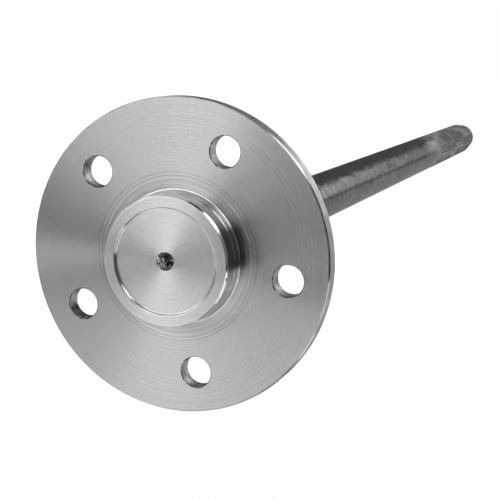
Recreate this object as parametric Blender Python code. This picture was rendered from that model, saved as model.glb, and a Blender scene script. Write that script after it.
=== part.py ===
"""Rear axle shaft of a car's solid axle, forged in steel and turned, drilled and splined as one piece.

Its axis runs along Y, with the wheel at -Y and the differential at +Y. The origin is the centre of
the flange's wheel face. Everything is in metres.
"""
from math import acos, cos, pi, radians, sin, sqrt, tan

import bmesh
import bpy

# Stud holes: a wheel stud is pressed into each of them from the back
BOLT_CIRCLE = 0.1143
STUD_HOLE_COUNT = 5
STUD_HOLE_DIAMETER = 0.01525
STUD_HOLE_CHAMFER = 0.0004
FIRST_STUD_HOLE_ANGLE = radians(63.8)

# Flange: the wheel bolts against its outboard face, which is the plane Y = 0
METAL_OUTSIDE_HOLES = 0.012175
FLANGE_THICKNESS = 0.0086
RIM_CHAMFER = 0.0007

# Nose: the wheel centres on the rear land, and the front land guides it on
REAR_LAND_DIAMETER = 0.0646
REAR_LAND_LENGTH = 0.0045
LAND_STEP_HEIGHT = 0.0005
LAND_STEP_LENGTH = 0.0011
FRONT_LAND_LENGTH = 0.0076
NOSE_CHAMFER_WIDTH = 0.0008
NOSE_CHAMFER_LENGTH = 0.0011
NOSE_FILLET = 0.0009

# Recess in the nose's end, inside a flat ring
END_RING_WIDTH = 0.00465
RECESS_DEPTH = 0.0012
RECESS_WALL_SLOPE = 0.0014

# Shallow relief around the nose, so that the wheel seats on the outer ring of the face
RELIEF_WIDTH = 0.0075
RELIEF_DEPTH = 0.00015
RELIEF_EDGE = 0.0003

# Hub behind the flange, which ends in the shoulder over the journal
SHOULDER_HEIGHT = 0.00722
HUB_LENGTH = 0.0264
HUB_FILLET = 0.008
HUB_CHAMFER = 0.001

# Ground journal: the oil seal's lip and the wheel bearing's rollers run on it
JOURNAL_DIAMETER = 0.03556
JOURNAL_LENGTH = 0.057
JOURNAL_FILLET = 0.002
JOURNAL_TAPER_LENGTH = 0.012

# Barrel: the long plain stretch, a touch under the size of the spline blank
BARREL_LENGTH = 0.493
BARREL_UNDERSIZE = 0.00014

# Splines: involute teeth that slide into the differential's side gear
TOOTH_COUNT = 28
TOOTH_MODULE = 0.0254 / 24
PRESSURE_ANGLE = radians(45.0)
ROOT_CLEARANCE = 0.00014
SPLINE_LEAD = 0.014
SPLINE_LENGTH = 0.166
SPLINE_END_CHAMFER = 0.0012
HOB_RADIUS = 0.035

# Lock groove and button: a C-shaped clip in the groove holds the shaft in the differential
GROOVE_WIDTH = 0.0073
GROOVE_DEPTH = 0.0021
BUTTON_UNDERSIZE = 0.00095
BUTTON_LENGTH = 0.0144
BUTTON_CHAMFER = 0.001

# Centre holes: 60 degree cones with a pilot drilling, one in each end, for the lathe's centres
CENTRE_DIAMETER_NOSE = 0.009
CENTRE_DIAMETER_BUTTON = 0.008
CENTRE_PILOT_DIAMETER = 0.0032
CENTRE_PILOT_LENGTH = 0.004
CENTRE_HALF_ANGLE = radians(30.0)
DRILL_HALF_ANGLE = radians(59.0)

# Roundness of the mesh
TURNED_STEPS = 3 * TOOTH_COUNT
STUD_HOLE_STEPS = 28
CENTRE_HOLE_STEPS = 24
FILLET_STEPS = 3
RUN_OUT_STEPS = 4

# How far a cutter stands out of the metal, and the distance under which points are one
CUTTER_OVERSHOOT = 0.0005
MERGE_DISTANCE = 0.000001

# Radii, from the rim of the flange inwards
FLANGE_RADIUS = (BOLT_CIRCLE + STUD_HOLE_DIAMETER) / 2 + METAL_OUTSIDE_HOLES
REAR_LAND_RADIUS = REAR_LAND_DIAMETER / 2
FRONT_LAND_RADIUS = REAR_LAND_RADIUS - LAND_STEP_HEIGHT
RECESS_RADIUS = FRONT_LAND_RADIUS - NOSE_CHAMFER_WIDTH - END_RING_WIDTH
RELIEF_RADIUS = REAR_LAND_RADIUS + RELIEF_WIDTH
JOURNAL_RADIUS = JOURNAL_DIAMETER / 2
HUB_RADIUS = JOURNAL_RADIUS + SHOULDER_HEIGHT
PITCH_RADIUS = TOOTH_COUNT * TOOTH_MODULE / 2
SPLINE_OUTER_RADIUS = PITCH_RADIUS + TOOTH_MODULE / 2
SPLINE_ROOT_RADIUS = PITCH_RADIUS - TOOTH_MODULE / 2 - ROOT_CLEARANCE
BASE_RADIUS = PITCH_RADIUS * cos(PRESSURE_ANGLE)
BARREL_RADIUS = SPLINE_OUTER_RADIUS - BARREL_UNDERSIZE
BUTTON_RADIUS = SPLINE_ROOT_RADIUS - BUTTON_UNDERSIZE
GROOVE_RADIUS = BUTTON_RADIUS - GROOVE_DEPTH

# Places along the axis, from the nose's end inwards
FRONT_LAND_END = -REAR_LAND_LENGTH - LAND_STEP_LENGTH
NOSE_END = FRONT_LAND_END - FRONT_LAND_LENGTH - NOSE_CHAMFER_LENGTH
RECESS_FLOOR = NOSE_END + RECESS_DEPTH
HUB_END = FLANGE_THICKNESS + HUB_LENGTH
JOURNAL_END = HUB_END + JOURNAL_LENGTH
BARREL_START = JOURNAL_END + JOURNAL_TAPER_LENGTH
BARREL_END = BARREL_START + BARREL_LENGTH
SPLINE_START = BARREL_END + SPLINE_LEAD
SPLINE_END = SPLINE_START + SPLINE_LENGTH
BUTTON_START = SPLINE_END + GROOVE_WIDTH
SHAFT_END = BUTTON_START + BUTTON_LENGTH

# Bare turned steel, and the bend between two faces from which their edge is shaded sharp
STEEL_COLOUR = (0.46, 0.46, 0.46, 1.0)
STEEL_ROUGHNESS = 0.34
SHARP_EDGE_ANGLE = radians(25.0)


def clear_scene():
    """Removes whatever the new file holds."""
    for thing in list(bpy.data.objects):
        bpy.data.objects.remove(thing, do_unlink=True)


def arc(centre, radius, start, end):
    """Points (y, r) of a round corner about centre, from one angle in degrees to another."""
    points = []
    for step in range(FILLET_STEPS + 1):
        angle = radians(start + (end - start) * step / FILLET_STEPS)
        points.append((centre[0] + radius * cos(angle), centre[1] + radius * sin(angle)))
    return points


def nose_outline():
    """The nose from the middle of its end to its foot on the flange."""
    foot = (RELIEF_DEPTH - NOSE_FILLET, REAR_LAND_RADIUS + NOSE_FILLET)
    outline = [
        (RECESS_FLOOR, 0.0),
        (RECESS_FLOOR, RECESS_RADIUS - RECESS_WALL_SLOPE),
        (NOSE_END, RECESS_RADIUS),
        (NOSE_END, FRONT_LAND_RADIUS - NOSE_CHAMFER_WIDTH),
        (NOSE_END + NOSE_CHAMFER_LENGTH, FRONT_LAND_RADIUS),
        (FRONT_LAND_END, FRONT_LAND_RADIUS),
        (-REAR_LAND_LENGTH, REAR_LAND_RADIUS),
    ]
    return outline + arc(foot, NOSE_FILLET, -90, 0)


def flange_outline():
    """The flange from the relief around the nose, over its rim, to its back face."""
    return [
        (RELIEF_DEPTH, RELIEF_RADIUS - RELIEF_EDGE),
        (0.0, RELIEF_RADIUS),
        (0.0, FLANGE_RADIUS - RIM_CHAMFER),
        (RIM_CHAMFER, FLANGE_RADIUS),
        (FLANGE_THICKNESS - RIM_CHAMFER, FLANGE_RADIUS),
        (FLANGE_THICKNESS, FLANGE_RADIUS - RIM_CHAMFER),
    ]


def shaft_outline():
    """The hub, the journal and the barrel, and the blank on which the splines are cut."""
    hub_corner = (FLANGE_THICKNESS + HUB_FILLET, HUB_RADIUS + HUB_FILLET)
    journal_corner = (HUB_END + JOURNAL_FILLET, JOURNAL_RADIUS + JOURNAL_FILLET)
    outline = arc(hub_corner, HUB_FILLET, 180, 270)
    outline += [(HUB_END - HUB_CHAMFER, HUB_RADIUS), (HUB_END, HUB_RADIUS - HUB_CHAMFER)]
    outline += arc(journal_corner, JOURNAL_FILLET, 180, 270)
    outline += [
        (JOURNAL_END, JOURNAL_RADIUS),
        (BARREL_START, BARREL_RADIUS),
        (BARREL_END, BARREL_RADIUS),
        (BARREL_END + BARREL_UNDERSIZE, SPLINE_OUTER_RADIUS),
    ]
    return outline


def inner_end_outline():
    """The end of the splines, the lock groove and the button."""
    return [
        (SPLINE_END - SPLINE_END_CHAMFER, SPLINE_OUTER_RADIUS),
        (SPLINE_END, SPLINE_OUTER_RADIUS - SPLINE_END_CHAMFER),
        (SPLINE_END, GROOVE_RADIUS),
        (BUTTON_START, GROOVE_RADIUS),
        (BUTTON_START, BUTTON_RADIUS),
        (SHAFT_END - BUTTON_CHAMFER, BUTTON_RADIUS),
        (SHAFT_END, BUTTON_RADIUS - BUTTON_CHAMFER),
        (SHAFT_END, 0.0),
    ]


def add_turned(mesh, outline, steps, centre=(0.0, 0.0)):
    """Spins an outline of points (y, r) about an axis along Y through centre (x, z)."""
    points = [mesh.verts.new((centre[0] + r, y, centre[1])) for y, r in outline]
    edges = [mesh.edges.new(pair) for pair in zip(points, points[1:])]
    bmesh.ops.spin(
        mesh,
        geom=points + edges,
        cent=(centre[0], 0.0, centre[1]),
        axis=(0.0, 1.0, 0.0),
        angle=2 * pi,
        steps=steps,
        use_merge=True,
    )


def finish_mesh(mesh, name):
    """Merges the points on the axis, turns every face outwards and makes an object of it."""
    bmesh.ops.remove_doubles(mesh, verts=mesh.verts, dist=MERGE_DISTANCE)
    bmesh.ops.recalc_face_normals(mesh, faces=mesh.faces)
    data = bpy.data.meshes.new(name)
    mesh.to_mesh(data)
    mesh.free()
    thing = bpy.data.objects.new(name, data)
    bpy.context.scene.collection.objects.link(thing)
    return thing


def turned_blank():
    """The forging as it leaves the lathe, before it is drilled and splined."""
    mesh = bmesh.new()
    outline = nose_outline() + flange_outline() + shaft_outline() + inner_end_outline()
    add_turned(mesh, outline, TURNED_STEPS)
    return finish_mesh(mesh, "axle_shaft")


def stud_hole_places():
    """Centres (x, z) of the stud holes on the bolt circle."""
    places = []
    for hole in range(STUD_HOLE_COUNT):
        angle = FIRST_STUD_HOLE_ANGLE + 2 * pi * hole / STUD_HOLE_COUNT
        places.append((BOLT_CIRCLE / 2 * cos(angle), BOLT_CIRCLE / 2 * sin(angle)))
    return places


def stud_hole_cutter():
    """Drills through the flange, with a broken edge at both faces."""
    radius = STUD_HOLE_DIAMETER / 2
    mouth = radius + STUD_HOLE_CHAMFER + CUTTER_OVERSHOOT
    outline = [
        (-CUTTER_OVERSHOOT, 0.0),
        (-CUTTER_OVERSHOOT, mouth),
        (STUD_HOLE_CHAMFER, radius),
        (FLANGE_THICKNESS - STUD_HOLE_CHAMFER, radius),
        (FLANGE_THICKNESS + CUTTER_OVERSHOOT, mouth),
        (FLANGE_THICKNESS + CUTTER_OVERSHOOT, 0.0),
    ]
    mesh = bmesh.new()
    for place in stud_hole_places():
        add_turned(mesh, outline, STUD_HOLE_STEPS, place)
    return finish_mesh(mesh, "stud_hole_cutter")


def centre_hole_outline(face, inward, diameter):
    """A centre drill that enters at the height face along Y; inward is 1 or -1."""
    mouth = diameter / 2
    pilot = CENTRE_PILOT_DIAMETER / 2
    cone = (mouth - pilot) / tan(CENTRE_HALF_ANGLE)
    tip = pilot / tan(DRILL_HALF_ANGLE)
    outside = face - inward * CUTTER_OVERSHOOT
    return [
        (outside, 0.0),
        (outside, mouth + CUTTER_OVERSHOOT * tan(CENTRE_HALF_ANGLE)),
        (face + inward * cone, pilot),
        (face + inward * (cone + CENTRE_PILOT_LENGTH), pilot),
        (face + inward * (cone + CENTRE_PILOT_LENGTH + tip), 0.0),
    ]


def centre_hole_cutter():
    """The two centre drills, one for each end."""
    mesh = bmesh.new()
    add_turned(mesh, centre_hole_outline(RECESS_FLOOR, 1, CENTRE_DIAMETER_NOSE), CENTRE_HOLE_STEPS)
    add_turned(mesh, centre_hole_outline(SHAFT_END, -1, CENTRE_DIAMETER_BUTTON), CENTRE_HOLE_STEPS)
    return finish_mesh(mesh, "centre_hole_cutter")


def involute(angle):
    """The involute function of a pressure angle."""
    return tan(angle) - angle


def space_half_angle(radius):
    """Half the angle between two neighbouring teeth at a radius."""
    at_pitch = pi / (2 * TOOTH_COUNT)
    return at_pitch - involute(PRESSURE_ANGLE) + involute(acos(BASE_RADIUS / radius))


def tooth_space_section():
    """The space between two teeth, as points (across, outwards) from one flank to the other."""
    flank = []
    for radius in (SPLINE_OUTER_RADIUS, PITCH_RADIUS, SPLINE_ROOT_RADIUS):
        half = space_half_angle(radius)
        flank.append((radius * sin(half), radius * cos(half)))
    brim = SPLINE_OUTER_RADIUS + CUTTER_OVERSHOOT
    half = space_half_angle(SPLINE_OUTER_RADIUS)
    flank.insert(0, (brim * sin(half), brim * cos(half)))
    return flank + [(-across, outwards) for across, outwards in reversed(flank)]


def hob_path():
    """Stations (y, lift) of the hob, which rises out of the metal along its own radius."""
    depth = SPLINE_OUTER_RADIUS + CUTTER_OVERSHOOT - SPLINE_ROOT_RADIUS
    length = sqrt(HOB_RADIUS ** 2 - (HOB_RADIUS - depth) ** 2)
    path = []
    for step in range(RUN_OUT_STEPS, 0, -1):
        back = length * step / RUN_OUT_STEPS
        path.append((SPLINE_START - back, HOB_RADIUS - sqrt(HOB_RADIUS ** 2 - back ** 2)))
    path.append((SPLINE_START, 0.0))
    path.append((SPLINE_END + GROOVE_WIDTH / 2, 0.0))
    return path


def spline_cutter():
    """One solid for the space between each two teeth, lofted along the hob's path."""
    section = tooth_space_section()
    path = hob_path()
    mesh = bmesh.new()
    for tooth in range(TOOTH_COUNT):
        turn = 2 * pi * (tooth + 0.5) / TOOTH_COUNT
        rings = []
        for y, lift in path:
            ring = []
            for across, outwards in section:
                x = (outwards + lift) * cos(turn) - across * sin(turn)
                z = (outwards + lift) * sin(turn) + across * cos(turn)
                ring.append(mesh.verts.new((x, y, z)))
            rings.append(ring)
        for ring, following in zip(rings, rings[1:]):
            for corner in range(len(section)):
                beside = corner - 1
                mesh.faces.new((ring[beside], ring[corner], following[corner], following[beside]))
        mesh.faces.new(rings[0])
        mesh.faces.new(rings[-1])
    return finish_mesh(mesh, "spline_cutter")


def cut(body, cutter):
    """Takes the cutter out of the body, and keeps the cutter as a hidden guide."""
    modifier = body.modifiers.new(cutter.name, "BOOLEAN")
    modifier.operation = "DIFFERENCE"
    modifier.solver = "EXACT"
    modifier.object = cutter
    cutter.display_type = "WIRE"
    cutter.hide_render = True
    cutter.hide_set(True)


def bake_cuts(body):
    """Turns the blank and its cuts into one plain mesh, shaded smooth except at its edges."""
    bpy.context.view_layer.update()
    evaluated = body.evaluated_get(bpy.context.evaluated_depsgraph_get())
    cut_mesh = bpy.data.meshes.new_from_object(evaluated)
    body.modifiers.clear()
    body.data = cut_mesh
    cut_mesh.shade_smooth()
    cut_mesh.set_sharp_from_angle(angle=SHARP_EDGE_ANGLE)


def steel():
    """Bare machined steel."""
    material = bpy.data.materials.new("machined_steel")
    material.use_nodes = True
    shader = material.node_tree.nodes["Principled BSDF"]
    shader.inputs["Base Color"].default_value = STEEL_COLOUR
    shader.inputs["Metallic"].default_value = 1.0
    shader.inputs["Roughness"].default_value = STEEL_ROUGHNESS
    return material


clear_scene()
axle_shaft = turned_blank()
cut(axle_shaft, stud_hole_cutter())
cut(axle_shaft, centre_hole_cutter())
cut(axle_shaft, spline_cutter())
bake_cuts(axle_shaft)
axle_shaft.data.materials.clear()
axle_shaft.data.materials.append(steel())
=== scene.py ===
"""Rear axle shaft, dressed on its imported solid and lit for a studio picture."""
from math import cos, pi, radians, sin, tan

import bpy
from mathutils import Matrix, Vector


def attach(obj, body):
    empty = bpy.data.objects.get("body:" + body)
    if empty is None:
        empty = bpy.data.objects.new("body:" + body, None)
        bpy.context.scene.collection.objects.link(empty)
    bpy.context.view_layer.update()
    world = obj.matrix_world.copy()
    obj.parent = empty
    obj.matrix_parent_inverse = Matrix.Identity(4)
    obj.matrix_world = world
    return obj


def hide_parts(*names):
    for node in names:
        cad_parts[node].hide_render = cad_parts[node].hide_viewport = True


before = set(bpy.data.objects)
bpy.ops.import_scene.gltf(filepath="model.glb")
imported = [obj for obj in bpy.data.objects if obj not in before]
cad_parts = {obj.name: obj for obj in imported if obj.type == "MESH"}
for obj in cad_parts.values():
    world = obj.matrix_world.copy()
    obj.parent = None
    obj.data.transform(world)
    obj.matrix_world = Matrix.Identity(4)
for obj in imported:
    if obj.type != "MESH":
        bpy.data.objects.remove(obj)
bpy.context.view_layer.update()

MM = 0.001


# The turned blank. The real shaft is one steel bar, upset hot at one end into the flange, and then
# turned all over on a lathe between its two centre holes. The outline is half of its section,
# from the nose's centre hole to the button's, as corners (radius, place along the axis) in mm.

pilot_radius = 1.6
pilot_length = 4.0
cone_half_angle = radians(30.0)
drill_half_angle = radians(59.0)
nose_centre_radius = 4.5
button_centre_radius = 4.0

nose_end = -14.3
recess_floor = -13.1
recess_foot_radius = 24.95
recess_fillet = 0.7
recess_mouth_radius = 26.35
recess_wall_top = [(25.94, -14.06), (26.08, -14.2), (recess_mouth_radius, nose_end)]
end_ring_radius = 31.0
nose_chamfer_length = 1.1
front_land_radius = 31.8
front_land_end = -5.6
rear_land_radius = 32.3
rear_land_start = -4.5
nose_fillet = 0.9
relief_depth = 0.08
relief_floor_radius = 36.3
relief_radius = 39.8

flange_radius = 76.95
flange_thickness = 8.6
rim_chamfer = 0.7

hub_radius = 25.0
hub_fillet = 8.0
hub_end = 35.0
hub_chamfer = 1.0
journal_radius = 17.78
journal_fillet = 2.0
journal_end = 92.0
barrel_radius = 15.206
barrel_start = 104.0
barrel_end = 597.0

blank_radius = 15.346
run_out_length = 12.0
run_out_steps = 10
spline_start = 611.0
spline_end = 777.0
spline_chamfer = 1.2
groove_radius = 11.098
groove_width = 7.3
button_radius = 13.198
button_chamfer = 1.0
shaft_end = 798.7

round_steps = 8
round_flat = 0.08
edge_break = 0.12
edge_break_steps = 3
sharpest_bend_left = radians(20.0)
weld_distance = 0.001


def centre_hole(face, mouth, inward):
    """A centre hole, from its drill's tip out to its mouth: a pilot and a cone of 60 degrees."""
    cone_end = face + inward * (mouth - pilot_radius) / tan(cone_half_angle)
    pilot_end = cone_end + inward * pilot_length
    tip = pilot_end + inward * pilot_radius / tan(drill_half_angle)
    return [(0.0, tip), (pilot_radius, pilot_end), (pilot_radius, cone_end), (mouth, face)]


def hollow(radius, along, size, start, end):
    """A hollow round corner about (radius, along), between two angles, with short flat ends."""
    points = []
    for step in range(round_steps + 1):
        turn = radians(start + (end - start) * step / round_steps)
        points.append(Vector((radius + size * cos(turn), along + size * sin(turn))))
    way = 1 if end > start else -1
    way_in = Vector((-sin(radians(start)), cos(radians(start)))) * way
    way_out = Vector((-sin(radians(end)), cos(radians(end)))) * way
    points = [points[0] - way_in * round_flat] + points + [points[-1] + way_out * round_flat]
    return [tuple(point) for point in points]


def eased(corners):
    """The outline with its sharp corners broken to a small round, as a file leaves them."""
    outline = [corners[0]]
    for before, corner, after in zip(corners, corners[1:], corners[2:]):
        here = Vector(corner)
        back = Vector(before) - here
        on = Vector(after) - here
        if back.angle(-on) < sharpest_bend_left:
            outline.append(corner)
            continue
        size = min(edge_break, back.length / 4, on.length / 4)
        start = here + back.normalized() * size
        end = here + on.normalized() * size
        outline.append(tuple(here + back.normalized() * 2 * size))
        for step in range(edge_break_steps + 1):
            share = step / edge_break_steps
            outline.append(tuple(start.lerp(here, share).lerp(here.lerp(end, share), share)))
        outline.append(tuple(here + on.normalized() * 2 * size))
    return outline + [corners[-1]]


nose = (
    centre_hole(recess_floor, nose_centre_radius, 1)
    + hollow(recess_foot_radius, recess_floor - recess_fillet, recess_fillet, 90.0, 35.0)
    + recess_wall_top
    + [
        (end_ring_radius, nose_end),
        (front_land_radius, nose_end + nose_chamfer_length),
        (front_land_radius, front_land_end),
        (rear_land_radius, rear_land_start),
    ]
    + hollow(rear_land_radius + nose_fillet, relief_depth - nose_fillet, nose_fillet, 180.0, 90.0)
)
flange = [
    (relief_floor_radius, relief_depth),
    (relief_radius, 0.0),
    (flange_radius - rim_chamfer, 0.0),
    (flange_radius, rim_chamfer),
    (flange_radius, flange_thickness - rim_chamfer),
    (flange_radius - rim_chamfer, flange_thickness),
]
hub = hollow(hub_radius + hub_fillet, flange_thickness + hub_fillet, hub_fillet, 270.0, 180.0) + [
    (hub_radius, hub_end - hub_chamfer),
    (hub_radius - hub_chamfer, hub_end),
]
journal = hollow(
    journal_radius + journal_fillet, hub_end + journal_fillet, journal_fillet, 270.0, 180.0
) + [(journal_radius, journal_end)]
barrel = [
    (barrel_radius, barrel_start),
    (barrel_radius, barrel_end),
    (blank_radius, barrel_end + blank_radius - barrel_radius),
]
run_out = [
    (blank_radius, spline_start - run_out_length * step / run_out_steps)
    for step in range(run_out_steps, -1, -1)
]
inner_end = [
    (blank_radius, spline_end - spline_chamfer),
    (blank_radius - spline_chamfer, spline_end),
    (groove_radius, spline_end),
    (groove_radius, spline_end + groove_width),
    (button_radius, spline_end + groove_width),
    (button_radius, shaft_end - button_chamfer),
    (button_radius - button_chamfer, shaft_end),
] + centre_hole(shaft_end, button_centre_radius, -1)[::-1]
blank_outline = eased(nose + flange + hub + journal + barrel + run_out + inner_end)


def scribed(name, outline):
    """An outline in mm as a mesh of points in metres, radius along X and place along Y."""
    mesh = bpy.data.meshes.new(name)
    points = [(radius * MM, along * MM, 0.0) for radius, along in outline]
    mesh.from_pydata(points, [(n, n + 1) for n in range(len(points) - 1)], [])
    scribed_object = bpy.data.objects.new(name, mesh)
    bpy.context.scene.collection.objects.link(scribed_object)
    return scribed_object


class Wire:
    """One output of a node. Arithmetic on it adds the Math or Vector Math nodes for it."""

    def __init__(self, tree, socket=None):
        self.tree = tree
        self.socket = socket

    def into(self, socket):
        """Links this output to a node's input."""
        self.tree.links.new(self.socket, socket)

    def node(self, kind, settings=None, values=None):
        """Adds a node, makes its settings, fills its sockets, and returns its first output."""
        node = self.tree.nodes.new(kind)
        for name, setting in (settings or {}).items():
            setattr(node, name, setting)
        for name, value in (values or {}).items():
            if isinstance(name, str):
                socket = next(s for s in node.inputs if s.name == name and s.enabled)
            else:
                socket = node.inputs[name]
            if isinstance(value, Wire):
                value.into(socket)
            elif socket.type == "VECTOR" and not hasattr(value, "__len__"):
                socket.default_value = (value, value, value)
            else:
                socket.default_value = value
        return Wire(self.tree, next((s for s in node.outputs if s.enabled), None))

    def __getitem__(self, name):
        """Another output of the same node."""
        return Wire(self.tree, self.socket.node.outputs[name])

    def sum(self, operation, *terms):
        """The Math node of an operation, or the Vector Math node where a term is a vector."""
        wired = [term.socket.type for term in terms if isinstance(term, Wire)]
        kind = "ShaderNodeVectorMath" if "VECTOR" in wired else "ShaderNodeMath"
        return self.node(kind, {"operation": operation}, dict(enumerate(terms)))

    def __add__(self, other):
        return self.sum("ADD", self, other)

    __radd__ = __add__

    def __sub__(self, other):
        return self.sum("SUBTRACT", self, other)

    def __rsub__(self, other):
        return self.sum("SUBTRACT", other, self)

    def __mul__(self, other):
        return self.sum("MULTIPLY", self, other)

    __rmul__ = __mul__

    def __truediv__(self, other):
        return self.sum("DIVIDE", self, other)

    def __rtruediv__(self, other):
        return self.sum("DIVIDE", other, self)

    def __neg__(self):
        return self.sum("MULTIPLY", self, -1.0)

    def __lt__(self, other):
        return self.sum("LESS_THAN", self, other)

    def __gt__(self, other):
        return self.sum("GREATER_THAN", self, other)

    def __pow__(self, other):
        return self.sum("POWER", self, other)

    def __abs__(self):
        return self.sum("ABSOLUTE", self)

    def floor(self):
        """The number, rounded down."""
        return self.sum("FLOOR", self)

    def held(self):
        """The number, kept between 0 and 1."""
        return self.sum("MINIMUM", self.sum("MAXIMUM", self, 0.0), 1.0)

    def within(self, low, high):
        """1 where the number lies between two limits, and 0 elsewhere."""
        return (self > low) * (self < high)

    def rise(self, start, end):
        """0 before start, 1 past end, and a smooth rise between them."""
        return self.node(
            "ShaderNodeMapRange",
            {"interpolation_type": "SMOOTHSTEP"},
            {"Value": self, "From Min": start, "From Max": end},
        )

    def grey(self, dark, light):
        """The colour between two greys that the number picks: dark at 0, light at 1."""
        return self.node(
            "ShaderNodeMix",
            {"data_type": "RGBA"},
            {"Factor": self.held(), "A": (dark, dark, dark, 1.0), "B": (light, light, light, 1.0)},
        )

    def parts(self):
        """The X, Y and Z of a vector."""
        split = self.node("ShaderNodeSeparateXYZ", {}, {"Vector": self})
        return split["X"], split["Y"], split["Z"]

    def vector(self, x, y, z):
        """A vector from its X, Y and Z."""
        return self.node("ShaderNodeCombineXYZ", {}, {"X": x, "Y": y, "Z": z})


def open_tree(name, sizes):
    """A Geometry Nodes tree with a mesh in and out and one named input for each size."""
    tree = bpy.data.node_groups.new(name, "GeometryNodeTree")
    tree.interface.new_socket(name="Mesh", in_out="INPUT", socket_type="NodeSocketGeometry")
    kinds = {int: "NodeSocketInt", float: "NodeSocketFloat"}
    for size_name, value in sizes.items():
        kind = kinds.get(type(value), "NodeSocket" + type(value).__name__)
        tree.interface.new_socket(name=size_name, in_out="INPUT", socket_type=kind)
    tree.interface.new_socket(name="Mesh", in_out="OUTPUT", socket_type="NodeSocketGeometry")
    return Wire(tree).node("NodeGroupInput")


def spun(outline, rows, angle_of, depth_of=None):
    """A closed solid: an outline turned about Y, with one row of points at each angle."""
    size = outline.node("GeometryNodeAttributeDomainSize", {}, {"Geometry": outline})
    sheet = outline.node(
        "GeometryNodeMeshGrid", {}, {"Vertices X": size["Point Count"], "Vertices Y": rows}
    )
    index = outline.node("GeometryNodeInputIndex")
    station = ((index + 0.5) / rows).floor()
    around = index - station * rows
    corner = outline.node(
        "GeometryNodeSampleIndex",
        {"data_type": "FLOAT_VECTOR"},
        {
            "Geometry": outline,
            "Value": outline.node("GeometryNodeInputPosition"),
            "Index": station,
        },
    )
    radius, along, _ = corner.parts()
    if depth_of:
        radius = radius.sum("MINIMUM", radius, depth_of(around, along))
    angle = angle_of(around)
    place = outline.vector(
        radius * angle.sum("COSINE", angle), along, radius * angle.sum("SINE", angle)
    )
    turned = outline.node(
        "GeometryNodeSetPosition", {}, {"Geometry": sheet["Mesh"], "Position": place}
    )
    return outline.node(
        "GeometryNodeMergeByDistance", {}, {"Geometry": turned, "Distance": weld_distance * MM}
    )


# The splines. The hob cuts 28 involute teeth of 24 pitch and 45 degrees into the inner end, as
# deep as the root circle, and lifts out of the steel along its own radius where the barrel begins.

tooth_count = 28
teeth_per_inch = 24
inch = 25.4
pitch_radius = tooth_count * inch / teeth_per_inch / 2
pressure_angle = radians(45.0)
base_radius = pitch_radius * cos(pressure_angle)
root_radius = 14.148
hob_radius = 35.0
half_tooth_steps = 6
tooth_steps = 2 * half_tooth_steps


def tooth_place(around):
    """A row's place on its tooth: 0 at the tip, 1 to 5 down the flank, 6 in the root."""
    return around.sum("PINGPONG", around, float(half_tooth_steps))


def flank_radius(entry, around):
    """Radius of the cut tooth at a row of points."""
    share = ((tooth_place(around) - 1.0) / (half_tooth_steps - 2.0)).held()
    return entry["Blank radius"] - share * (entry["Blank radius"] - entry["Root radius"])


def tooth_angle(entry, around):
    """Angle of a row of points: the involute's law gives the tooth's width at its radius."""
    place = tooth_place(around)
    tooth = ((around + 0.5) / tooth_steps).floor()
    past_root = (around - tooth * tooth_steps) > half_tooth_steps + 0.5
    slant = around.sum("ARCCOSINE", entry["Base radius"] / flank_radius(entry, around))
    half_width = entry["Half tooth at base"] - (slant.sum("TANGENT", slant) - slant)
    on_flank = place.within(0.5, half_tooth_steps - 0.5)
    half_pitch = pi / entry["Teeth"]
    half = half_width * on_flank + half_pitch * (place > half_tooth_steps - 0.5)
    return (tooth + past_root) * 2.0 * half_pitch + half * (1.0 - 2.0 * past_root)


def hobbed_radius(entry, around, along):
    """The radius that the hob leaves. At the run-out it lifts by the square of the distance."""
    short_of = (entry["Spline start"] - along).held()
    return flank_radius(entry, around) + short_of * short_of / (2.0 * entry["Hob radius"])


# The stud holes. Five holes are drilled through the flange on a 114.3 mm circle, and both ends of
# each are countersunk a little, which leaves a thin bright ring on the face.

stud_hole_count = 5
hole_circle_radius = 57.15
first_hole_angle = radians(63.8)
stud_hole_radius = 7.625
countersink = 0.4
overshoot = 1.0
widest_cut = stud_hole_radius + countersink + overshoot
drill_outline = [
    (0.0, -overshoot),
    (widest_cut, -overshoot),
    (stud_hole_radius, countersink),
    (stud_hole_radius, flange_thickness - countersink),
    (widest_cut, flange_thickness + overshoot),
    (0.0, flange_thickness + overshoot),
]
drill_steps = 64


def drills(entry):
    """The drill's solid, at every stud hole."""
    outline = entry.node("GeometryNodeObjectInfo", {}, {"Object": entry["Drill"]})["Geometry"]
    drill = spun(outline, drill_steps + 1, lambda around: around * (2 * pi / drill_steps))
    hole = entry.node("GeometryNodeInputIndex")
    angle = entry["First hole angle"] + hole * (2 * pi) / entry["Stud holes"]
    centre = entry.vector(
        entry["Hole circle radius"] * angle.sum("COSINE", angle),
        0.0,
        entry["Hole circle radius"] * angle.sum("SINE", angle),
    )
    centres = entry.node(
        "GeometryNodePoints", {}, {"Count": entry["Stud holes"], "Position": centre}
    )
    placed = entry.node("GeometryNodeInstanceOnPoints", {}, {"Points": centres, "Instance": drill})
    return entry.node("GeometryNodeRealizeInstances", {}, {"Geometry": placed})


# The finish of the steel. It is bare and clean. Each turn of the tool leaves a groove round the
# axis, finer than the eye can see, and its two sides lean the surface across the cut. That is what
# draws a reflection out into rays on the face and into bands along the barrel.

feed_slope = 1.9
past_the_holes = 66.0 * MM
inside_the_recess = 28.0 * MM
burnt_spot = Vector((-56.0, 4.5, -31.9)) * MM


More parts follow.
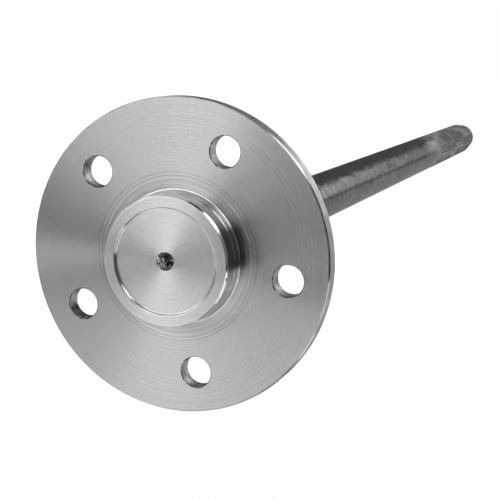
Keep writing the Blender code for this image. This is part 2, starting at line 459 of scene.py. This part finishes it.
class Steel(Wire):
    """A bare steel material, with its Principled shader and the place of each point on it."""

    def __init__(self, name, roughness):
        self.material = bpy.data.materials.new(name)
        self.material.use_nodes = True
        super().__init__(self.material.node_tree)
        self.shader = self.tree.nodes["Principled BSDF"]
        self.shader.inputs["Metallic"].default_value = 1.0
        self.shader.inputs["Roughness"].default_value = roughness
        coordinates = self.node("ShaderNodeTexCoord")
        self.place = coordinates["Object"]
        self.normal = coordinates["Normal"]
        self.x, self.y, self.z = self.place.parts()
        self.radius = (self.x * self.x + self.z * self.z) ** 0.5
        self.feed = (self.radius + feed_slope * self.y) / MM

    def noise(self, place, scale, detail=1.0):
        """Smooth noise about zero: along a line for a number, through space for a vector."""
        line = place.socket.type == "VALUE"
        values = {("W" if line else "Vector"): place, "Scale": scale, "Detail": detail}
        kind = {"noise_dimensions": "1D" if line else "3D"}
        return self.node("ShaderNodeTexNoise", kind, values) - 0.5

    def grain(self):
        """A tilt too fine to be drawn as lines: at random at each point, a half either way."""
        speckle = self.node("ShaderNodeTexWhiteNoise", {}, {"Vector": self.place})["Color"]
        first, second, third = speckle.parts()
        return first + second + third - 1.5

    def shade(self, share, dark, light):
        """Colours the steel between two greys."""
        share.grey(dark, light).into(self.shader.inputs["Base Color"])

    def roughen(self, roughness):
        """Makes the roughness vary over the surface."""
        roughness.into(self.shader.inputs["Roughness"])

    def tilted(self, direction, tilt):
        """Leans the surface's normal by a tilt in a direction."""
        turned = self.node(
            "ShaderNodeVectorTransform",
            {"vector_type": "NORMAL", "convert_from": "OBJECT", "convert_to": "WORLD"},
            {"Vector": self.normal + direction * tilt},
        )
        turned.into(self.shader.inputs["Normal"])

    def grooved(self, tilt):
        """Leans the normal across the grooves, which run round the axis."""
        round_the_axis = self.vector(-self.z / self.radius, 0.0, self.x / self.radius)
        self.tilted(self.normal.sum("CROSS_PRODUCT", self.normal, round_the_axis), tilt)


def faced_steel():
    """The flange: faced from the rim inwards, with rings that show most near the nose."""
    steel = Steel("faced_steel", roughness=0.16)
    near_nose = 1.0 - steel.radius.rise(33 * MM, 47 * MM)
    rings = steel.noise(steel.feed, 1.8, detail=0.5)
    hairlines = steel.noise(steel.feed, 2.1, detail=1.5)
    scores = steel.noise(steel.feed, 1.3).rise(0.03, 0.2) * near_nose
    clouds = steel.noise(steel.place, 25.0, detail=3.0)
    steel.grooved(
        steel.grain() * 0.4 + hairlines * 0.08 + rings * (0.02 + 0.25 * near_nose) + scores * 0.1
    )
    steel.shade(
        0.5 + hairlines * 1.7 + rings * (0.1 + 3.5 * near_nose) - scores * 1.6 + clouds * 0.4,
        dark=0.41,
        light=0.54,
    )
    return steel.material


def nose_steel():
    """The nose's end: turned with a finer feed, and lighter, with tool marks round its recess."""
    steel = Steel("nose_steel", roughness=0.22)
    rings = steel.noise(steel.feed, 2.4, detail=2.0)
    clouds = steel.noise(steel.place, 60.0, detail=3.0)
    band = steel.radius.rise(21.2 * MM, 22.2 * MM) * (
        1.0 - steel.radius.rise(24.0 * MM, 24.9 * MM)
    )
    patches = steel.noise(steel.place, 45.0).rise(0.0, 0.12)
    arcs = steel.noise(steel.feed, 2.2) + steel.noise(steel.place, 500.0)
    marks = arcs.rise(0.1, 0.25) * patches * band
    steel.grooved(steel.grain() * 0.38 + rings * 0.02)
    steel.shade(0.8 + rings * 0.6 + clouds * 0.2 - marks * 0.35, dark=0.27, light=0.69)
    return steel.material


def land_steel():
    """The nose's two lands, turned to size, with rings light and dark, and the duller rim."""
    steel = Steel("land_steel", roughness=0.14)
    rim = steel.radius > past_the_holes
    rings = steel.noise(steel.feed, 0.9, detail=2.0)
    clouds = steel.noise(steel.place, 150.0, detail=2.0)
    steel.grooved(steel.grain() * 0.2 + rings * 0.1)
    steel.shade(0.55 + rim * 0.1 + rings * 1.6 + clouds * 1.6, dark=0.3, light=0.75)
    steel.roughen(0.14 + rim * 0.16)
    return steel.material


def edge_steel():
    """Chamfers and bevels: cut in one plunge, with a painted highlight, and nicked here and there.
    """
    steel = Steel("edge_steel", roughness=0.15)
    clouds = steel.noise(steel.place, 80.0, detail=3.0)
    nicks = steel.noise(steel.place, 330.0).rise(0.2, 0.28)
    # Their light grey is a painted highlight, painted weaker on the rim and in the recess.
    painted_highlight_held_back = 0.5 * (steel.radius > past_the_holes) + 0.4 * (steel.radius < inside_the_recess)
    steel.grooved(steel.grain() * 0.14)
    steel.shade(1.0 - painted_highlight_held_back + clouds * 1.2 - nicks * 1.2, dark=0.12, light=0.82)
    return steel.material


def barrel_steel():
    """The barrel: a fast, rough cut over the forging's scale, and the hobbed teeth, duller."""
    steel = Steel("barrel_steel", roughness=0.13)
    toothed = steel.y.rise(530 * MM, 640 * MM)
    turned = 1.0 - toothed
    clouds = steel.noise(steel.vector(steel.x, steel.y * 0.3, steel.z), 110.0, detail=2.0)
    scale = steel.noise(steel.vector(steel.x * 0.3, steel.y, steel.z * 0.3), 750.0)
    rings = steel.noise(steel.feed, 0.45)
    steel.grooved(steel.grain() * (0.13 + 0.45 * toothed) + scale * 0.05)
    steel.shade(
        (0.6 + scale * 2.0 + clouds * 0.7 + rings * 0.6) * (1.0 - 0.8 * toothed)
        + clouds * 1.8 * toothed,
        dark=0.13,
        light=0.5,
    )
    steel.roughen(0.13 + 0.5 * toothed + scale.rise(0.0, 0.15) * 0.1 * turned)
    return steel.material


def drilled_steel():
    """Drilled walls: rings and tears from the drill's lips, a burnt spot, and painted shade at
    mouths.
    """
    steel = Steel("drilled_steel", roughness=0.38)
    rings = steel.noise(steel.y / MM, 0.9, detail=1.5)
    tears = steel.noise(steel.vector(steel.x * 0.5, steel.y, steel.z * 0.5), 900.0)
    clouds = steel.noise(steel.place, 160.0)
    wall_half = flange_thickness / 2 - countersink
    countersunk = abs(steel.y / MM - flange_thickness / 2).rise(wall_half - 0.2, wall_half)
    from_spot = steel.place - steel.vector(*burnt_spot)
    from_spot = from_spot.sum("LENGTH", from_spot)["Value"]
    burnt = 1.0 - (from_spot + tears * (6 * MM)).rise(3.6 * MM, 5.0 * MM)
    wall = (0.42 + rings * 0.9 + tears * 1.2 + clouds * 0.8) * (1.0 - 0.85 * burnt)
    # The countersunk mouths get a darker grey than the wall: painted shade at the holes' edges.
    mouth = 0.22 + tears * 2.0
    steel.tilted(steel.vector(0.0, 1.0, 0.0), rings * 1.2 + tears * 1.2)
    steel.shade(wall * (1.0 - countersunk) + mouth * countersunk, dark=0.03, light=1.0)
    return steel.material


def torn_steel():
    """The centre hole's cone: worn and torn by the lathe's centre, and lighter on its +X half."""
    steel = Steel("torn_steel", roughness=0.25)
    tears = steel.noise(steel.place, 420.0)
    speckle = steel.noise(steel.place, 1400.0)
    # The +X half of the cone is made lighter, with a ragged edge from the tears.
    lighter_towards_plus_x = (tears + steel.x * 60.0).rise(0.14, 0.2)
    steel.tilted(steel.vector(0.0, 1.0, 0.0), tears * 2.0)
    steel.shade(0.3 + lighter_towards_plus_x * 1.2 + speckle * 2.5, dark=0.08, light=1.0)
    return steel.material


# The machining. The steps run in the order of the shop: the blank is turned, the splines are
# hobbed, the holes are drilled, and each surface gets the finish that its tool leaves. It is one
# piece of steel from nose to button, so it is one mesh.

drill_guide = scribed("drill_outline", drill_outline)
shaft_guide = scribed("blank_outline", blank_outline)
involute_of_pressure = tan(pressure_angle) - pressure_angle
sharpest_smooth_fold = radians(28.0)
sizes = {
    "Teeth": tooth_count,
    "Blank radius": blank_radius * MM,
    "Root radius": root_radius * MM,
    "Base radius": base_radius * MM,
    "Half tooth at base": pi / (2 * tooth_count) + involute_of_pressure,
    "Spline start": spline_start * MM,
    "Hob radius": hob_radius * MM,
    "Stud holes": stud_hole_count,
    "Hole circle radius": hole_circle_radius * MM,
    "First hole angle": first_hole_angle,
    "Drill": drill_guide,
    "Faced steel": faced_steel(),
    "Nose steel": nose_steel(),
    "Land steel": land_steel(),
    "Edge steel": edge_steel(),
    "Barrel steel": barrel_steel(),
    "Drilled steel": drilled_steel(),
    "Torn steel": torn_steel(),
}

entry = open_tree("turn_hob_and_drill", sizes)
turned = spun(
    entry,
    entry["Teeth"] * tooth_steps + 1,
    lambda around: tooth_angle(entry, around),
    lambda around, along: hobbed_radius(entry, around, along),
)
drilled = entry.node(
    "GeometryNodeMeshBoolean",
    {"operation": "DIFFERENCE", "solver": "EXACT"},
    {"Mesh 1": turned, "Mesh 2": drills(entry)},
)
fold = entry.node("GeometryNodeInputMeshEdgeAngle")["Unsigned Angle"]
smooth = entry.node(
    "GeometryNodeSetShadeSmooth",
    {"domain": "EDGE"},
    {"Geometry": drilled, "Shade Smooth": fold < sharpest_smooth_fold},
)
finished = entry.node("GeometryNodeRealizeInstances", {}, {"Geometry": smooth})

# Each finish goes on the faces of its own zone: the place of their middle in mm, and how squarely
# they face along the axis, from 0 on a wall round it to 1 on a flat face.

x, along, z = (entry.node("GeometryNodeInputPosition") / MM).parts()
radius = (x * x + z * z) ** 0.5
facing = abs(entry.node("GeometryNodeInputNormal").parts()[1])
margin = 0.05
round_wall = 0.05
sloped = 0.98
drilled_wall = 0.9
drilled_cone = 0.95
hole_zone_start = 42.0
hole_zone_end = 70.0
nose_zone_end = -12.0
barrel_zone_start = 9.0

in_stud_hole = radius.within(hole_zone_start, hole_zone_end) * (facing < drilled_wall)
in_centre_hole = (radius < nose_centre_radius + 0.3) * (facing < drilled_cone)
on_nose = along < nose_zone_end
on_rim = (radius > flange_radius - margin) * (facing < round_wall)
on_lands = (along < margin) * radius.within(front_land_radius - 0.1, rear_land_radius + 1.0)
on_recess_wall = radius.within(recess_foot_radius - margin, recess_mouth_radius + margin) * (
    facing < sloped
)
on_nose_edges = (along < recess_floor - margin) * (
    (radius > end_ring_radius - margin) + on_recess_wall
)
on_rim_edges = (radius > flange_radius - rim_chamfer - margin) * facing.within(round_wall, sloped)
on_barrel = along > barrel_zone_start
for finish, zone in (
    ("Faced steel", None),
    ("Nose steel", on_nose),
    ("Land steel", on_lands + on_rim),
    ("Barrel steel", on_barrel),
    ("Drilled steel", in_stud_hole),
    ("Torn steel", in_centre_hole),
    ("Edge steel", on_nose_edges + on_rim_edges),
):
    values = {"Geometry": finished, "Material": entry[finish]}
    if zone:
        values["Selection"] = zone
    finished = entry.node("GeometryNodeSetMaterial", {}, values)
entry.node("NodeGroupOutput", {}, {"Mesh": finished})

machining = shaft_guide.modifiers.new("machining", "NODES")
machining.node_group = entry.tree
for name, value in sizes.items():
    machining[entry.tree.interface.items_tree[name].identifier] = value
bpy.context.view_layer.update()
machined = shaft_guide.evaluated_get(bpy.context.evaluated_depsgraph_get())
shaft_mesh = bpy.data.meshes.new_from_object(machined)
shaft_mesh.name = "turned_shaft"
for slot in reversed(range(len(shaft_mesh.materials))):
    if shaft_mesh.materials[slot] is None:
        shaft_mesh.materials.pop(index=slot)
shaft = bpy.data.objects.new("turned_shaft", shaft_mesh)
bpy.context.scene.collection.objects.link(shaft)
for guide in (shaft_guide, drill_guide):
    bpy.data.objects.remove(guide, do_unlink=True)
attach(shaft, "root")
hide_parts("axle_shaft")


# The floor: a matt white board under the shaft, which keeps its soft shadow. Bare steel shows all
# that stands round it, so the board is left out of its reflections and the white room shows there.

floor_height = -0.16
floor_reach = 8.0
floor_white = 0.9
floor_lift = 0.2
floor_mesh = bpy.data.meshes.new("floor")
floor_mesh.from_pydata(
    [
        (side * floor_reach, depth * floor_reach, floor_height)
        for side, depth in ((-1, -1), (1, -1), (1, 1), (-1, 1))
    ],
    [],
    [(0, 1, 2, 3)],
)
floor = bpy.data.objects.new("floor", floor_mesh)
bpy.context.scene.collection.objects.link(floor)
floor_material = bpy.data.materials.new("pale_floor")
floor_material.use_nodes = True
rays = Wire(floor_material.node_tree).node("ShaderNodeLightPath")
seen = rays["Is Camera Ray"] + rays["Is Glossy Ray"] + rays["Is Transmission Ray"]
floor_shader = floor_material.node_tree.nodes["Principled BSDF"]
floor_shader.inputs["Base Color"].default_value = (floor_white, floor_white, floor_white, 1.0)
floor_shader.inputs["Roughness"].default_value = 1.0
floor_shader.inputs["Specular IOR Level"].default_value = 0.0
floor_shader.inputs["Emission Strength"].default_value = 1.0
seen.grey(0.0, floor_lift).into(floor_shader.inputs["Emission Color"])
floor_mesh.materials.append(floor_material)
floor.visible_glossy = False


# The cards: soft boxes, grey cards and black flags, hung far round the shaft. Only the steel's
# reflections see them, and they draw the light and dark sectors on the flange and the
# bands along the barrel.

# Each card has its azimuths, its elevations and the softness of its edges in degrees, how far it
# leans to the side for each degree up, and its brightness, where 1 is the white of the room.
cards = (
    ("left_flag", (-75, -23), (-30, 35), (2, 7), 0.1, 0.08),
    ("back_wall", (146, 205), (-65, 25), (14, 17), -0.8, 0.27),
    ("low_box", (-99, 26), (-34, -10), (3, 19), -0.2, 2.2),
    ("key_box", (-76, 3), (1, 54), (3, 21), 0.2, 2.2),
    ("fill_box", (-92, -34), (-16, -5), (4, 7), 0.6, 1.9),
    ("right_strip", (45, 120), (33, 63), (4, 3), 0.1, 2.18),
    ("back_box", (102, 170), (0, 42), (3, 7), -0.4, 2.1),
    ("left_back_flag", (-157, -105), (-48, 85), (3, 23), -0.1, 0.0),
    ("top_left_flag", (-170, -134), (22, 69), (9, 10), -0.1, 0.0),
    ("top_right_flag", (35, 250), (58, 89), (15, 4), -0.4, 0.0),
    ("dark_gap", (115, 196), (-8, 25), (3, 26), 0.2, 0.02),
    ("under_flag", (125, 224), (-79, -48), (8, 5), 0.5, 0.0),
    ("camera_flag", (-14, 107), (-19, 20), (4, 2), 0.0, 0.0),
    ("right_card", (34, 101), (-11, 31), (2, 2), 0.3, 0.14),
    ("shaft_flag", (163, 206), (-4, 40), (3, 3), 0.2, 0.08),
    ("floor_card", (35, 130), (-85, -56), (6, 6), 0.0, 0.25),
)
card_columns = 24
card_rows = 12
farthest_card = 40.0


def card_mesh(name, far, azimuths, elevations, lean):
    """A curved card at a distance from the shaft, with a UV map that runs from edge to edge."""
    width = azimuths[1] - azimuths[0]
    height = elevations[1] - elevations[0]
    middle = (elevations[0] + elevations[1]) / 2
    stride = card_columns + 1
    points = []
    for row in range(card_rows + 1):
        for column in range(stride):
            above_middle = height * (row / card_rows - 0.5)
            turn = radians(azimuths[0] + width * column / card_columns + lean * above_middle)
            climb = radians(middle + above_middle)
            points.append(
                (far * sin(turn) * cos(climb), -far * cos(turn) * cos(climb), far * sin(climb))
            )
    faces = [
        (n, n + 1, n + stride + 1, n + stride)
        for row in range(card_rows)
        for n in range(row * stride, row * stride + card_columns)
    ]
    mesh = bpy.data.meshes.new(name)
    mesh.from_pydata(points, [], faces)
    layer = mesh.uv_layers.new(name="edge")
    for loop in mesh.loops:
        row, column = divmod(loop.vertex_index, stride)
        layer.data[loop.index].uv = (column / card_columns, row / card_rows)
    return mesh


def card_material(name, spans, softness, brightness):
    """A plain glow that fades out towards the card's four edges."""
    material = bpy.data.materials.new(name)
    material.use_nodes = True
    material.node_tree.nodes.clear()
    wire = Wire(material.node_tree)
    across, upwards, _ = wire.node("ShaderNodeUVMap", {"uv_map": "edge"}).parts()
    cover = 1.0
    for share, span, soft in zip((across, upwards), spans, softness):
        for from_edge in (share, 1.0 - share):
            cover = cover * (from_edge * span).rise(0.0, soft)
    glow = wire.node("ShaderNodeEmission", {}, {"Strength": brightness})
    clear = wire.node("ShaderNodeBsdfTransparent")
    mixed = wire.node("ShaderNodeMixShader", {}, {0: cover, 1: clear, 2: glow})
    wire.node("ShaderNodeOutputMaterial", {}, {"Surface": mixed})
    return material


for number, (name, azimuths, elevations, softness, lean, brightness) in enumerate(cards):
    mesh = card_mesh(name, farthest_card - number, azimuths, elevations, lean)
    spans = (azimuths[1] - azimuths[0], elevations[1] - elevations[0])
    mesh.materials.append(card_material(name, spans, softness, brightness))
    card = bpy.data.objects.new(name, mesh)
    bpy.context.scene.collection.objects.link(card)
    card.visible_camera = False
    card.visible_diffuse = False
    card.visible_shadow = False
    card.visible_transmission = False


# The room: plain white all round, at a strength of 1, at which a colour renders about as it is
# written. It is the background and the soft light from every side.

world = bpy.data.worlds.new("studio")
bpy.context.scene.world = world
world.use_nodes = True
background = world.node_tree.nodes["Background"]
background.inputs["Color"].default_value = (1.0, 1.0, 1.0, 1.0)
background.inputs["Strength"].default_value = 1.0


# The camera stands a little over half a metre in front of the flange, to its right and above the
# axis, and looks past the nose, so that the whole shaft is in the picture.

azimuth = radians(23.2733)
elevation = radians(10.1254)
pan = radians(3.559)
tilt = radians(0.2982)
distance = 0.5727
picture_width = 500
focal_length_in_pixels = 1188.43
nearest_seen = 0.01
back = Vector((sin(azimuth) * cos(elevation), -cos(azimuth) * cos(elevation), sin(elevation)))
right = Vector((cos(azimuth), sin(azimuth), 0.0))
up = back.cross(right)
looking = right * sin(pan) * cos(tilt) + up * sin(tilt) - back * cos(pan) * cos(tilt)
camera_data = bpy.data.cameras.new("camera")
camera_data.lens = focal_length_in_pixels / picture_width * camera_data.sensor_width
camera_data.clip_start = nearest_seen
camera = bpy.data.objects.new("camera", camera_data)
camera.location = back * distance
camera.rotation_mode = "QUATERNION"
camera.rotation_quaternion = looking.to_track_quat("-Z", "Y")
bpy.context.scene.collection.objects.link(camera)
bpy.context.scene.camera = camera
bpy.context.scene.view_settings.view_transform = "Standard"


bpy.context.view_layer.update()
